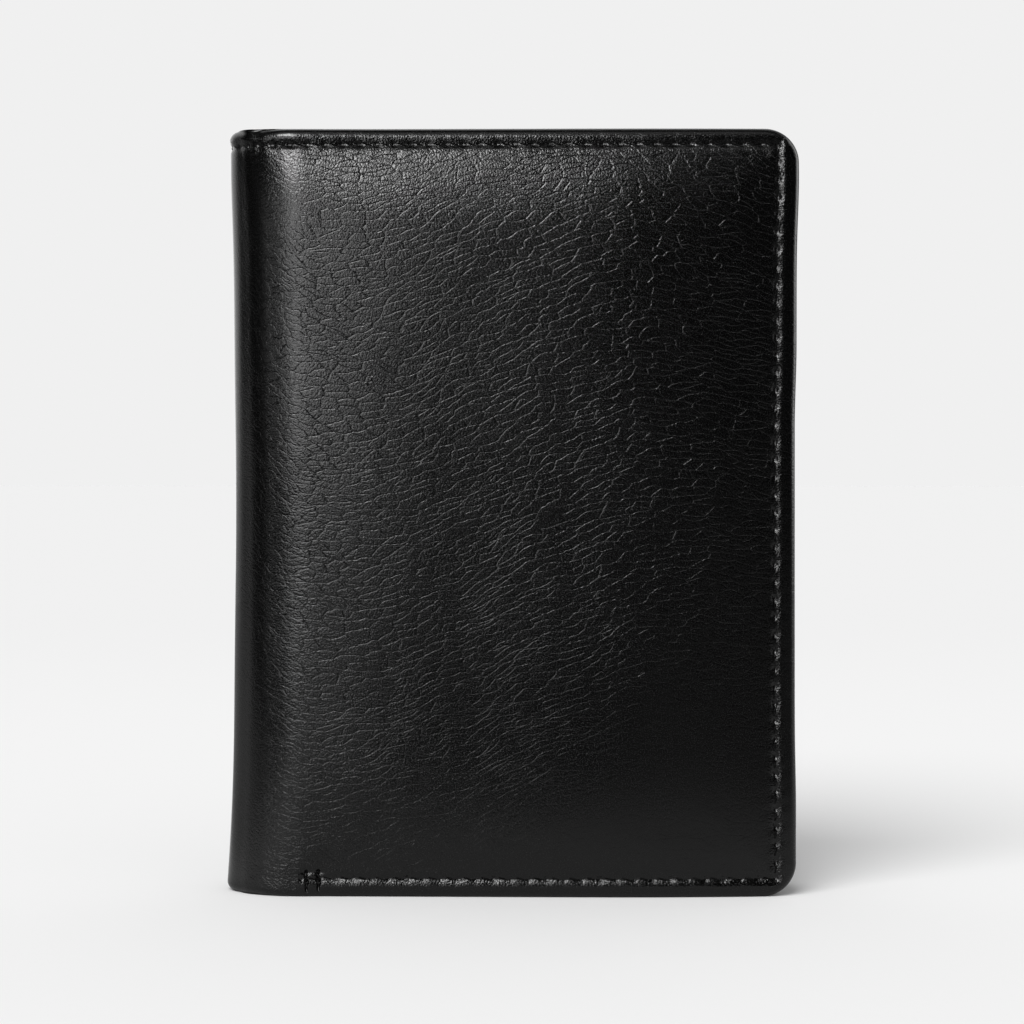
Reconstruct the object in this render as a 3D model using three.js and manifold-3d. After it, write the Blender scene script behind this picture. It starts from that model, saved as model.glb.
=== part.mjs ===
import * as THREE from "three";
import { mergeVertices } from "three/addons/utils/BufferGeometryUtils.js";
import Module from "manifold-3d";

// Vertical bifold wallet, shut and standing on its bottom edges. Millimetres, +Z up. The spine is
// at -X, the opening edge at +X, and the front cover faces -Y. Each leaf is a pack of layers. A
// layer's depth is counted from the face of the cover inwards.

// Outside
const WIDTH = 95;
const HEIGHT = 128;
const THICKNESS = 20;
const CORNER = 5.6; // outline radius at the two free corners of each leaf
const WAIST = 0.6; // how far the spine and the opening edge draw in at mid height

// Pillow of the cover face
const SIDE_DIP = 2.2; // how far the face falls to the opening edge
const SIDE_ROLL = 32; // over this width
const TOP_DIP = 1.7;
const BOTTOM_DIP = 1.9;
const END_ROLL = 24;
const SPINE_DIP = 0.8;
const SPINE_ROLL = 28;
const FOLD_RADIUS = 7; // outside bend radius where a leaf meets the spine
const FOLD_GAP = 0.3; // between the sections of a sheet at a fold

// Cover leather and its turned edge
const LEATHER = 1.0;
const EDGE_ROUND = 0.8;
const HEM_WIDTH = 9;
const HEM_SLOT = [1.0, 1.7]; // depth of the slot that takes the padding
const HEM_DEPTH = 2.4;
const PADDING = [1.1, 1.6];

// Note compartment: depths of lining, divider and inner wall
const LINING = [2.6, 2.8];
const DIVIDER = [4.1, 4.35];
const WALL = [5.6, 5.9];
const SQUEEZE_FROM = 2.85; // the two gaps beside the divider take up the pillow of the cover
const SPINE_PINCH = 1.2; // and close up further towards the spine
const PINCH_ROLL = 10;

// Inner panel and card slots
const PANEL = [6.05, 6.45];
const PANEL_LEFT = -41.9;
const PANEL_RIGHT = 46.2;
const PANEL_BOTTOM = 1.2;
const PANEL_TOP = 123.5;
const SLOT_FACE = 8.3; // depth of a slot's face at its mouth
const SLOT_THICK = 0.5;
const SLOT_TOPS = [113, 100, 87, 74, 61];
const SLOT_BAND = 22; // height of a band
const SLOT_LEAN = 0.055; // how fast a band sinks below the next one
const LAST_SLOT_LEAN = 0.018;

// Centre flap
const FLAP = { left: -42, right: 42.6, bottom: 4, top: 119.5, corner: 5 };
const FLAP_HALF = 1.25; // half its thickness
const FLAP_CORE = 0.35;
const WINDOW = { left: -33, right: 33.5, bottom: 20, top: 108, corner: 4 };
const WINDOW_LAP = 2.5; // the clear sheet reaches this far behind the frame
const WINDOW_SHEET = [0.42, 0.68];
const POCKET = 0.75; // the frame is hollowed to this height behind the opening
const HINGE = { left: -43.3, foot: -38.4, thick: 0.4, inset: 4.25, bottom: 6, top: 117.5 };

const COLOURS = {
  cover: "#161616",
  inner: "#1b1b1c",
  fabric: "#232325",
  padding: "#3a3834",
  window: "#c9cfd2",
};

const wasm = await Module();
wasm.setup();

// Path round the outside of the wrap, from the opening edge (0) to the middle of the spine.
const BEND = WIDTH - FOLD_RADIUS;
const FOLD = BEND + (FOLD_RADIUS * Math.PI) / 4;
const BEND_END = BEND + (FOLD_RADIUS * Math.PI) / 2;
const SPINE_FLAT = THICKNESS / 2 - SPINE_DIP - FOLD_RADIUS;
const MID_SPINE = BEND_END + SPINE_FLAT;

const clamp01 = (t) => Math.min(1, Math.max(0, t));

// 1 at the edge, easing to 0 at the end of the roll.
const roll = (distance, length) => (1 - clamp01(distance / length)) ** 2;

// How far the cover's face lies below the top of its pillow.
function dip(s, z) {
  const spine = roll(BEND - s, SPINE_ROLL);
  const side = SIDE_DIP * roll(s, SIDE_ROLL);
  const ends = TOP_DIP * roll(HEIGHT - z, END_ROLL) + BOTTOM_DIP * roll(z, END_ROLL);
  const free = side + ends * (1 - side / (SIDE_DIP + 0.2));
  return SPINE_DIP * spine + free * (1 - spine);
}

// Share of the pillow that the gaps have taken up at this depth. The divider keeps its thickness.
function taken(depth) {
  if (depth < DIVIDER[0]) {
    return 0.5 * clamp01((depth - SQUEEZE_FROM) / (DIVIDER[0] - SQUEEZE_FROM));
  }
  return 0.5 + 0.5 * clamp01((depth - DIVIDER[1]) / (WALL[0] - DIVIDER[1]));
}

// The point at path length s, height z and depth below the cover's face.
function place(s, z, depth) {
  if (s > MID_SPINE) {
    const [x, y] = place(2 * MID_SPINE - s, z, depth);
    return [x, -y, z];
  }
  const sink = dip(s, z);
  const pinch = SPINE_PINCH * roll(BEND - s, PINCH_ROLL);
  const below = depth - (sink + pinch) * taken(depth);
  if (s <= BEND) {
    return [WIDTH / 2 - s, -THICKNESS / 2 + sink + below, z];
  }
  if (s >= BEND_END) {
    return [-WIDTH / 2 + below, s - MID_SPINE, z];
  }
  const turn = (s - BEND) / FOLD_RADIUS;
  const reach = FOLD_RADIUS - below;
  const x = -WIDTH / 2 + FOLD_RADIUS - reach * Math.sin(turn);
  return [x, -SPINE_FLAT - reach * Math.cos(turn), z];
}

// Distances from an edge at which a grid needs lines: close where the edge is rounded or bent.
const EDGE_LINES = [0, 0.24, 0.8, 2.9, CORNER];
const SIDE_LINES = [9, 14, 20, 26, 34, 46, 58, 68, 74, 79, 83.5, BEND];
const END_LINES = [9.5, 14, 19, 25, 36, 50];

// A sheet that stops short of the outline keeps its corners concentric, down to this radius.
const LEAST_CORNER = 2.5;
const cornerAt = (inset) => Math.max(CORNER - inset, LEAST_CORNER);

function fromEdge(inset, fine, further) {
  const radius = cornerAt(inset);
  const first = fine ? EDGE_LINES : [0, 2.2, CORNER];
  const near = first.map((d) => inset + (d * radius) / CORNER);
  return [...near, ...further.filter((d) => d > inset + radius + 1)];
}

// Grid lines along the wrap, from the opening edge to a little short of the fold.
function leafAcross(inset, fine, end = FOLD - FOLD_GAP / 2) {
  const flat = SIDE_LINES.filter((s) => fine || ![9, 26, 68, 79].includes(s));
  const lines = [...fromEdge(inset, fine, flat), BEND + 2.6, end];
  return lines.filter((s) => s <= end);
}

// Grid lines round the spine, from fold to fold.
function spineAcross(gap = FOLD_GAP / 2) {
  const half = [FOLD + gap, BEND_END - 2.6, BEND_END];
  return [...half, ...half.map((s) => 2 * MID_SPINE - s).reverse()];
}

function upLines(low, high, fine) {
  const near = END_LINES.filter((z) => fine || ![9.5, 19].includes(z));
  const top = fromEdge(HEIGHT - high, fine, near).map((z) => HEIGHT - z);
  return [...fromEdge(low, fine, near), HEIGHT / 2, ...top.reverse()];
}

// Moves a grid point so that the square corner of the grid becomes a round one.
function roundCorner(s, z, left, low, high) {
  const up = z < HEIGHT / 2;
  const radius = cornerAt(up ? low : HEIGHT - high);
  const u = radius - (s - left);
  const v = radius - (up ? z - low : high - z);
  if (u <= 0 || v <= 0) {
    return [s, z];
  }
  const angle = u >= v ? ((Math.PI / 4) * v) / u : Math.PI / 2 - ((Math.PI / 4) * u) / v;
  const reach = Math.max(u, v);
  const inwards = radius - reach * Math.sin(angle);
  return [left + radius - reach * Math.cos(angle), up ? low + inwards : high - inwards];
}

// A closed mesh from two faces over one grid, turned to face outwards.
function closedMesh(columns, rows, faceA, faceB) {
  const count = columns * rows;
  const index = [];
  const quad = (a, b, c, d) => index.push(a, b, c, a, c, d);
  const at = (i, j) => i * rows + j;
  for (let i = 0; i + 1 < columns; i++) {
    for (let j = 0; j + 1 < rows; j++) {
      quad(at(i, j), at(i + 1, j), at(i + 1, j + 1), at(i, j + 1));
      quad(
        count + at(i, j),
        count + at(i, j + 1),
        count + at(i + 1, j + 1),
        count + at(i + 1, j),
      );
    }
  }
  const rim = [];
  for (let i = 0; i < columns - 1; i++) rim.push(at(i, 0));
  for (let j = 0; j < rows - 1; j++) rim.push(at(columns - 1, j));
  for (let i = columns - 1; i > 0; i--) rim.push(at(i, rows - 1));
  for (let j = rows - 1; j > 0; j--) rim.push(at(0, j));
  rim.forEach((a, k) => {
    const b = rim[(k + 1) % rim.length];
    quad(b, a, count + a, count + b);
  });
  return outward([...faceA, ...faceB], index);
}

function outward(points, index) {
  let volume = 0;
  const [a, b, c] = [new THREE.Vector3(), new THREE.Vector3(), new THREE.Vector3()];
  for (let k = 0; k < index.length; k += 3) {
    a.fromArray(points[index[k]]);
    b.fromArray(points[index[k + 1]]);
    c.fromArray(points[index[k + 2]]);
    volume += a.dot(b.cross(c));
  }
  if (volume < 0) {
    index.reverse();
  }
  const geometry = new THREE.BufferGeometry();
  geometry.setAttribute("position", new THREE.Float32BufferAttribute(points.flat(), 3));
  geometry.setIndex(index);
  return geometry;
}

// One layer of the wrap between two depths. `waist` draws it in at mid height.
function layer(across, up, depths, { rounded = true, edge = 0, waist = 0 } = {}) {
  const [low, high] = [up[0], up.at(-1)];
  const faces = depths.map((depth, side) => {
    const points = [];
    for (const s0 of across) {
      for (const z0 of up) {
        const [s, z] = rounded ? roundCorner(s0, z0, across[0], low, high) : [s0, z0];
        const free = Math.min(rounded ? s0 - across[0] : edge, z0 - low, high - z0);
        const short = side === 0 ? Math.max(0, edge - free) : 0;
        const bevel = edge - Math.sqrt(Math.max(0, edge ** 2 - short ** 2));
        const [x, y] = place(s, z, depth + bevel);
        const drawn = (waist * (1 - ((2 * z) / HEIGHT - 1) ** 2) * 2) / WIDTH;
        points.push([x * (1 - drawn), y, z]);
      }
    }
    return points;
  });
  return closedMesh(across.length, up.length, faces[0], faces[1]);
}

// Swaps front and back of a geometry.
function mirrored(geometry) {
  const turned = geometry.clone().scale(1, -1, 1);
  const index = turned.index ? Array.from(turned.index.array).reverse() : null;
  if (!index) {
    const count = turned.getAttribute("position").count;
    turned.setIndex(Array.from({ length: count }, (_, k) => count - 1 - k));
    return turned;
  }
  return turned.setIndex(index);
}

function solidOf(geometry) {
  const bare = geometry.clone();
  bare.deleteAttribute("normal");
  bare.deleteAttribute("uv");
  const merged = mergeVertices(bare, 1e-4);
  const vertProperties = merged.attributes.position.array;
  const triVerts = new Uint32Array(merged.index.array);
  return new wasm.Manifold(new wasm.Mesh({ numProp: 3, vertProperties, triVerts }));
}

function geometryOf(solid) {
  const mesh = solid.getMesh();
  const geometry = new THREE.BufferGeometry();
  geometry.setAttribute("position", new THREE.BufferAttribute(mesh.vertProperties, 3));
  geometry.setIndex(new THREE.BufferAttribute(mesh.triVerts, 1));
  return geometry;
}

function cut(from, ...tools) {
  return geometryOf(tools.reduce((left, tool) => left.subtract(solidOf(tool)), solidOf(from)));
}

// The cover of one leaf: leather with its edge turned in, hollow between the two for the padding.
function coverLeaf() {
  const past = FOLD + 1;
  const blank = layer(leafAcross(0, true), upLines(0, HEIGHT, true), [0, HEM_DEPTH], {
    edge: EDGE_ROUND,
    waist: WAIST,
  });
  const slotUp = upLines(LEATHER, HEIGHT - LEATHER, false);
  const slot = layer(leafAcross(LEATHER, false, past), slotUp, HEM_SLOT, { waist: WAIST });
  const openUp = upLines(HEM_WIDTH, HEIGHT - HEM_WIDTH, false);
  const open = [HEM_SLOT[0] + 0.2, HEM_DEPTH + 0.5];
  const window = layer(leafAcross(HEM_WIDTH, false, past), openUp, open, { waist: WAIST });
  return cut(blank, slot, window);
}

// The cover round the spine: its turned edges lie straight on the leather.
function coverSpine() {
  const plain = { rounded: false, waist: WAIST };
  const up = upLines(0, HEIGHT, true);
  const blank = layer(spineAcross(), up, [0, 2 * LEATHER], { edge: EDGE_ROUND, ...plain });
  const openUp = [HEM_WIDTH, 25, HEIGHT / 2, HEIGHT - 25, HEIGHT - HEM_WIDTH];
  return cut(blank, layer(spineAcross(-1), openUp, [LEATHER, 2 * LEATHER + 0.6], plain));
}

// A sheet of the note compartment, in one leaf or round the spine.
function leafSheet(depths, side, low, high) {
  return layer(leafAcross(side, false), upLines(low, high, false), depths);
}

function spineSheet(depths, low, high) {
  return layer(spineAcross(), [low, 14, 36, 64, 92, 114, high], depths, { rounded: false });
}

// Outline with a radius at each corner, in the order bottom left, bottom right, top right, top left.
function outline(left, right, bottom, top, radii) {
  const [bl, br, tr, tl] = radii;
  const shape = new THREE.Shape();
  shape.moveTo(left + bl, bottom);
  shape.lineTo(right - br, bottom);
  shape.absarc(right - br, bottom + br, br, -Math.PI / 2, 0, false);
  shape.lineTo(right, top - tr);
  shape.absarc(right - tr, top - tr, tr, 0, Math.PI / 2, false);
  shape.lineTo(left + tl, top);
  shape.absarc(left + tl, top - tl, tl, Math.PI / 2, Math.PI, false);
  shape.lineTo(left, bottom + bl);
  shape.absarc(left + bl, bottom + bl, bl, Math.PI, 1.5 * Math.PI, false);
  return shape;
}

function frameOutline({ left, right, bottom, top, corner }, grow = 0) {
  const radii = Array(4).fill(corner + Math.max(0, grow));
  return outline(left - grow, right + grow, bottom - grow, top + grow, radii);
}

// A plate with the outline in X and Z, between two values of Y.
function plate(shape, from, to) {
  const settings = { depth: to - from, bevelEnabled: false, curveSegments: 5 };
  return new THREE.ExtrudeGeometry(shape, settings).rotateX(Math.PI / 2).translate(0, to, 0);
}

const panelOutline = () =>
  outline(PANEL_LEFT, PANEL_RIGHT, PANEL_BOTTOM, PANEL_TOP, [7, 4.4, 4.4, 2.5]);

// A card slot: a leather band with a rounded mouth that sinks below the next band.
function cardSlot(top, bottom, lean) {
  const face = (z) => -THICKNESS / 2 + SLOT_FACE - (top - z) * lean;
  const back = (z) => face(z) - SLOT_THICK;
  const mouth = SLOT_THICK / 2;
  const profile = new THREE.Shape();
  profile.moveTo(face(bottom), bottom);
  profile.lineTo(face(top) - 0.02, top - mouth);
  profile.lineTo(face(top) - 0.09, top - 0.08);
  profile.lineTo(face(top) - mouth, top);
  profile.lineTo(back(top) + 0.09, top - 0.08);
  profile.lineTo(back(top), top - mouth);
  profile.lineTo(back(bottom), bottom);
  profile.closePath();
  const settings = { depth: PANEL_RIGHT - PANEL_LEFT, bevelEnabled: false };
  const band = new THREE.ExtrudeGeometry(profile, settings);
  // Profile x becomes Y, profile y becomes Z and the extrusion runs along X.
  band.applyMatrix4(
    new THREE.Matrix4().makeBasis(
      new THREE.Vector3(0, 1, 0),
      new THREE.Vector3(0, 0, 1),
      new THREE.Vector3(1, 0, 0),
    ),
  );
  return band.translate(PANEL_LEFT, 0, 0);
}

function lastSlot(top) {
  const band = solidOf(cardSlot(top, PANEL_BOTTOM, LAST_SLOT_LEAN));
  return geometryOf(band.intersect(solidOf(plate(panelOutline(), -THICKNESS, 0))));
}

// One side of the flap: a leather frame, hollowed at the back for its clear sheet.
function flapFrame() {
  const shape = frameOutline(FLAP);
  const frame = plate(shape, -FLAP_HALF, -FLAP_CORE - 0.05);
  const opening = plate(frameOutline(WINDOW), -FLAP_HALF - 1, 0);
  const pocket = plate(frameOutline(WINDOW, WINDOW_LAP + 0.3), -POCKET, 0);
  return cut(frame, opening, pocket);
}

// The strip the flap turns on, with a foot under the back leaf's inner panel.
function flapHinge() {
  const { left, foot, thick, inset, bottom, top } = HINGE;
  const shape = new THREE.Shape();
  shape.moveTo(left, 0.6);
  shape.lineTo(left + thick, 0.6);
  shape.lineTo(left + thick, inset - 1.45);
  shape.lineTo(left + 1.5, inset);
  shape.lineTo(foot, inset);
  shape.lineTo(foot, inset + thick);
  shape.lineTo(left + 1.25, inset + thick);
  shape.lineTo(left, inset - 1.35);
  shape.closePath();
  const settings = { depth: top - bottom, bevelEnabled: false };
  return new THREE.ExtrudeGeometry(shape, settings).translate(0, 0, bottom);
}

const wallet = new THREE.Group();
wallet.name = "wallet";

function add(name, geometry, colour, roughness = 0.6, opacity = 1) {
  const material = new THREE.MeshStandardMaterial({
    color: colour,
    roughness,
    metalness: 0,
    opacity,
    transparent: opacity < 1,
  });
  const mesh = new THREE.Mesh(geometry, material);
  mesh.name = name;
  wallet.add(mesh);
}

const leafParts = [
  ["cover", coverLeaf(), COLOURS.cover, 0.45],
  [
    "padding",
    layer(leafAcross(1.5, false, BEND), upLines(1.5, HEIGHT - 1.5, false), PADDING, {
      waist: WAIST,
    }),
    COLOURS.padding,
    0.95,
  ],
  ["bill_lining", leafSheet(LINING, 1.4, 1.4, 125.6), COLOURS.fabric, 0.85],
  ["bill_divider", leafSheet(DIVIDER, 1.4, 1.4, 119), COLOURS.fabric, 0.85],
  ["bill_wall", leafSheet(WALL, 1.4, 1.4, PANEL_TOP), COLOURS.fabric, 0.85],
  [
    "slot_panel",
    plate(panelOutline(), -THICKNESS / 2 + PANEL[0], -THICKNESS / 2 + PANEL[1]),
    COLOURS.inner,
    0.55,
  ],
];
SLOT_TOPS.forEach((top, k) => {
  const last = k === SLOT_TOPS.length - 1;
  const slot = last ? lastSlot(top) : cardSlot(top, top - SLOT_BAND, SLOT_LEAN);
  leafParts.push([`card_slot_${k + 1}`, slot, COLOURS.inner, 0.55]);
});
for (const [name, geometry, colour, roughness] of leafParts) {
  const slot = name.match(/^card_slot_(\d)$/);
  const named = (leaf) => (slot ? `card_slot_${leaf}_${slot[1]}` : `${name}_${leaf}`);
  add(named("front"), geometry, colour, roughness);
  add(named("back"), mirrored(geometry), colour, roughness);
}

add("cover_spine", coverSpine(), COLOURS.cover, 0.45);
add("bill_lining_spine", spineSheet(LINING, 1.4, 125.6), COLOURS.fabric, 0.85);
add("bill_divider_spine", spineSheet(DIVIDER, 1.4, 119), COLOURS.fabric, 0.85);
add("bill_wall_spine", spineSheet(WALL, 1.4, PANEL_TOP), COLOURS.fabric, 0.85);

const flapFace = flapFrame();
const clear = plate(frameOutline(WINDOW, WINDOW_LAP), -WINDOW_SHEET[1], -WINDOW_SHEET[0]);
add("flap_core", plate(frameOutline(FLAP), -FLAP_CORE, FLAP_CORE), COLOURS.fabric, 0.85);
add("flap_frame_front", flapFace, COLOURS.inner, 0.55);
add("flap_frame_back", mirrored(flapFace), COLOURS.inner, 0.55);
add("flap_window_front", clear, COLOURS.window, 0.1, 0.35);
add("flap_window_back", mirrored(clear), COLOURS.window, 0.1, 0.35);
add("flap_hinge", flapHinge(), COLOURS.inner, 0.55);

export default wallet;
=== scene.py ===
"""Upright bifold wallet in soft black leather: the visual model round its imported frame."""

import math

import bpy
import numpy as np
from bpy.props import FloatProperty, FloatVectorProperty, PointerProperty
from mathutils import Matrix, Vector


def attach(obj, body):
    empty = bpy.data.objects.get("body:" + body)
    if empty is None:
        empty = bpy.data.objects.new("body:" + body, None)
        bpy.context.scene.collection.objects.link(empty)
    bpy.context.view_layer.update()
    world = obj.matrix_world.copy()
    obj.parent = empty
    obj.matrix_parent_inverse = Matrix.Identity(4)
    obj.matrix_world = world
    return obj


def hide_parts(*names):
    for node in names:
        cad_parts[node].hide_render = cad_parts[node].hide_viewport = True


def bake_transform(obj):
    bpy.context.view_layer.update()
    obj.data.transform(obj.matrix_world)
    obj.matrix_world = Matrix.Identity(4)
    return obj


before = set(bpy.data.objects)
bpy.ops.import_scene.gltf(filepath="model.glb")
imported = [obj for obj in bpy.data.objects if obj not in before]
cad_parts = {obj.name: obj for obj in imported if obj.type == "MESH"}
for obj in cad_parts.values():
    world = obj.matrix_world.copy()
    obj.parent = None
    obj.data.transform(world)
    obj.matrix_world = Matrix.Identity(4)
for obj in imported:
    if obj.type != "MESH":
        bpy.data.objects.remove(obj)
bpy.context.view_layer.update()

bl_info = {
    "name": "Upright Bifold Wallet",
    "version": (1, 0, 0),
    "blender": (4, 5, 0),
    "location": "View3D > Sidebar > Wallet",
    "description": "Builds a stitched leather bifold wallet with card slots and a window flap",
    "category": "Add Mesh",
}

TAU = 2 * math.pi
UV_MM = 100  # one unit of a UV map, in mm


def linear(code):
    """An sRGB hex colour as the linear colour that a shader works in."""
    parts = [int(code[i : i + 2], 16) / 255 for i in (1, 3, 5)]
    return [c / 12.92 if c <= 0.04045 else ((c + 0.055) / 1.055) ** 2.4 for c in parts]


def size(name, default, description):
    """A length in metres."""
    return FloatProperty(name=name, description=description, default=default, unit="LENGTH")


def colour(name, code, description):
    """A colour, given as an sRGB hex code."""
    return FloatVectorProperty(
        name=name, description=description, default=linear(code), subtype="COLOR", min=0, max=1
    )


class WalletSizes(bpy.types.PropertyGroup):
    width: size("Width", 0.0958, "Shut wallet, from the spine to the opening edge")
    height: size("Height", 0.128, "Height of the cover")
    thickness: size("Thickness", 0.020, "Both leaves shut on the flap, at the top of the pillow")
    corner: size("Corner", 0.0056, "Outline radius of the free corners")
    fold_radius: size("Fold radius", 0.007, "Outside bend radius at the edges of the spine")
    spine_waist: size("Spine waist", 0.00135, "How far the spine draws in at mid height")
    edge_waist: size("Edge waist", 0.0003, "How far the opening edge draws in at mid height")
    hem_depth: size("Edge thickness", 0.0024, "Leather, padding and turned edge together")
    seam_side: size("Side seam", 0.0035, "Seam from the opening edge")
    seam_top: size("Top seam", 0.00275, "Seam from the top edge")
    seam_bottom: size("Bottom seam", 0.0031, "Seam from the bottom edge")
    seam_start: size("Seam start", 0.0827, "Start of the bottom seam, from the opening edge")
    stitch_pitch: size("Stitch pitch", 0.00293, "From one stitch to the next")
    thread: size("Thread", 0.00046, "Diameter of the sewing thread")
    slot_pitch: size("Slot pitch", 0.013, "From the mouth of one card slot to the next")


class WalletColours(bpy.types.PropertyGroup):
    leather: colour("Cover leather", "#050505", "Dyed through, with a semi-gloss finish")
    inner: colour("Inner leather", "#111112", "Satin leather of the panels and slots")
    lining: colour("Lining", "#17171a", "Woven lining of the note compartment")
    # The thread's colour is its own black, painted darker still for the shade of the holes it sinks
    # into.
    thread: colour("Thread", "#040404", "Bonded polyester sewing thread")
    window: colour("Window", "#eef2f4", "Clear sheet of the flap's windows")
    floor: colour("Floor", "#f0f0f0", "Pale paper sweep under the wallet")


def number(name, default, description, **kind):
    """A number that isn't a length."""
    return FloatProperty(name=name, description=description, default=default, **kind)


class WalletStage(bpy.types.PropertyGroup):
    distance: size("Camera distance", 0.446, "In front of the middle of the wallet")
    aside: size("Camera offset", 0.0107, "To the right of the middle of the wallet")
    eye: size("Camera height", 0.0758, "Above the floor")
    turn: number("Camera turn", math.radians(1.34), "Towards the left", unit="ROTATION")
    view_angle: number("Field of view", math.radians(22), "Width of the view", unit="ROTATION")
    shift: number("Vertical shift", -0.0692, "Of the level camera's picture")
    key: number("Key light", 2.15, "Strength of the soft key light", min=0)
    ambient: number("Ambient", 0.49, "Even light of the pale room", min=0)


# ------------------------------------------------------------------ shape of the wrap (mm)

SIDE_DIP, SIDE_ROLL = 2.2, 32.0  # fall of the pillow at the opening edge, and its length
TOP_DIP, BOTTOM_DIP, END_ROLL = 1.7, 0.9, 24.0  # and at the top and the bottom
SPINE_DIP, SPINE_ROLL = 0.8, 28.0  # and at the bend
EDGE_FALL, EDGE_REACH = 0.75, 40.0  # all layers of a leaf fall this much at its opening edge
TOP_FALL, TOP_REACH = 0.9, 17.4  # and at its top edge
SPINE_PINCH, PINCH_ROLL = 1.2, 10.0  # the bend presses the inner layers together
SPINE_ROUND = 1.6  # the leather rounds off the bend by this much, midway round it
EDGE_FLARE = 0.3  # the upper part and the corners of the opening edge stand out this much
# Depths at which the gaps beside the divider start to take up the pillow, of the divider's
# two faces, and of the note compartment's inner wall.
SQUEEZE_FROM, DIVIDER_DEPTH, WALL_DEPTH = 2.85, (4.1, 4.35), 5.6
LOCKS, LOCK_TOP = (0.9, 2.9), 5.3  # stitches across the edge lock the bottom seam's start
LEAST_LEATHER = 0.25  # thickness that no groove goes below
CHANNEL, PUFF, LIP, PUCKER = 0.26, 0.37, 0.10, 0.05  # what the seam does to the leather


def roll(distance, length):
    """1 at the edge, falling as a parabola to 0 at the end of the roll."""
    return (1 - np.clip(distance / length, 0, 1)) ** 2


def smooth(t):
    """0 below 0 and 1 above 1, with level ends between."""
    t = np.clip(t, 0, 1)
    return t * t * (3 - 2 * t)


def round_off(t):
    """Like smooth, with its curvature fading out at both ends too."""
    t = np.clip(t, 0, 1)
    return t**3 * (t * (6 * t - 15) + 10)


def bell(x, width):
    """A hump of height 1 and this half width."""
    return np.exp(-((x / width) ** 2))


class Wrap:
    """The path of the sheets round the wallet. s runs along the wrap from the opening edge
    (0) to the middle of the spine, z is the height, depth counts from the cover's face."""

    def __init__(self, sizes):
        self.width, self.height = 1000 * sizes.width, 1000 * sizes.height
        self.radius, self.corner = 1000 * sizes.fold_radius, 1000 * sizes.corner
        self.thread, self.pitch = 1000 * sizes.thread, 1000 * sizes.stitch_pitch
        self.hem, self.half = 1000 * sizes.hem_depth, 500 * sizes.thickness
        self.waists = 1000 * sizes.spine_waist, 1000 * sizes.edge_waist
        self.side, self.start = 1000 * sizes.seam_side, 1000 * sizes.seam_start
        self.bottom, self.top = 1000 * sizes.seam_bottom, self.height - 1000 * sizes.seam_top
        self.bend = self.width - self.radius
        self.bend_end = self.bend + self.radius * math.pi / 2
        self.flat = self.half - SPINE_DIP - self.radius
        self.middle = self.bend_end + self.flat

    def dip(self, s, z):
        """Fall of the cover's face from the top of its pillow: rolls at the free edges, and
        a lesser one towards the spine that takes over from them."""
        spine = roll(self.bend - s, SPINE_ROLL)
        side = SIDE_DIP * roll(s, SIDE_ROLL)
        ends = TOP_DIP * roll(self.height - z, END_ROLL) + BOTTOM_DIP * roll(z, END_ROLL)
        free = side + ends * (1 - side / (SIDE_DIP + 0.2))
        return SPINE_DIP * spine + free * (1 - spine)

    def fall(self, s, z):
        """Fall of the whole leaf, all its layers together, towards the opening and top edges."""
        on_leaf = 1 - smooth((s - self.bend) / 6)
        top = TOP_FALL * roll(self.height - z, TOP_REACH) * on_leaf
        return EDGE_FALL * roll(s, EDGE_REACH) + top

    def taken(self, depth):
        """Share of the pillow that the gaps beside the divider have taken up."""
        first = (depth - SQUEEZE_FROM) / (DIVIDER_DEPTH[0] - SQUEEZE_FROM)
        second = (depth - DIVIDER_DEPTH[1]) / (WALL_DEPTH - DIVIDER_DEPTH[1])
        return 0.5 * np.clip(first, 0, 1) + 0.5 * np.clip(second, 0, 1)

    def place(self, s, z, depth):
        """Points of the front half: level with the leaf up to the bend, then round a quarter
        circle, then straight along the spine. The sides are drawn in at mid height."""
        s, z, depth = np.broadcast_arrays(s, z, depth)
        sink = self.dip(s, z)
        pinch = SPINE_PINCH * roll(self.bend - s, PINCH_ROLL)
        below = depth - (sink + pinch) * self.taken(depth) + self.fall(s, z)
        turn = np.clip((s - self.bend) / self.radius, 0, math.pi / 2)
        reach = self.radius - below
        on_leaf = s <= self.bend
        x = self.radius - self.width / 2 - reach * np.sin(turn)
        x = np.where(on_leaf, self.width / 2 - s, x)
        y = np.maximum(s - self.bend_end, 0) - self.flat - reach * np.cos(turn)
        y = np.where(on_leaf, sink + below - self.half, y)
        up = np.abs(2 * z / self.height - 1)
        stands_out = bell(z - 119, 8) + smooth((z - 78) / 14) + 0.5 * bell(z - 16, 8)
        free = self.waists[1] * (1 - up**6) - EDGE_FLARE * stands_out
        waist = np.where(x < 0, self.waists[0] * (1 - up**3), free)
        return np.stack([x * (1 - 2 * waist / self.width), y, z], -1)


def free_edge(wrap, s, z):
    """Distance to the nearest free edge of the cover."""
    return np.minimum(np.minimum(s, wrap.height - z), z)


def rounded_edge(free, radius):
    """Fall of a rounded edge at this distance from it."""
    short = np.clip(radius - free, 0, radius)
    return radius - np.sqrt(np.clip(radius**2 - short**2, 0, None))


def spread(*stops):
    """Grid lines from (start, step) pairs and a last value: even steps within each span."""
    lines = [np.array([stops[0][0]])]
    for (start, step), after in zip(stops[:-1], stops[1:]):
        end = after[0] if isinstance(after, tuple) else after
        count = max(1, round((end - start) / step))
        lines.append(np.linspace(start, end, count + 1)[1:])
    return np.concatenate(lines)


# ------------------------------------------------------------------ meshes


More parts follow.
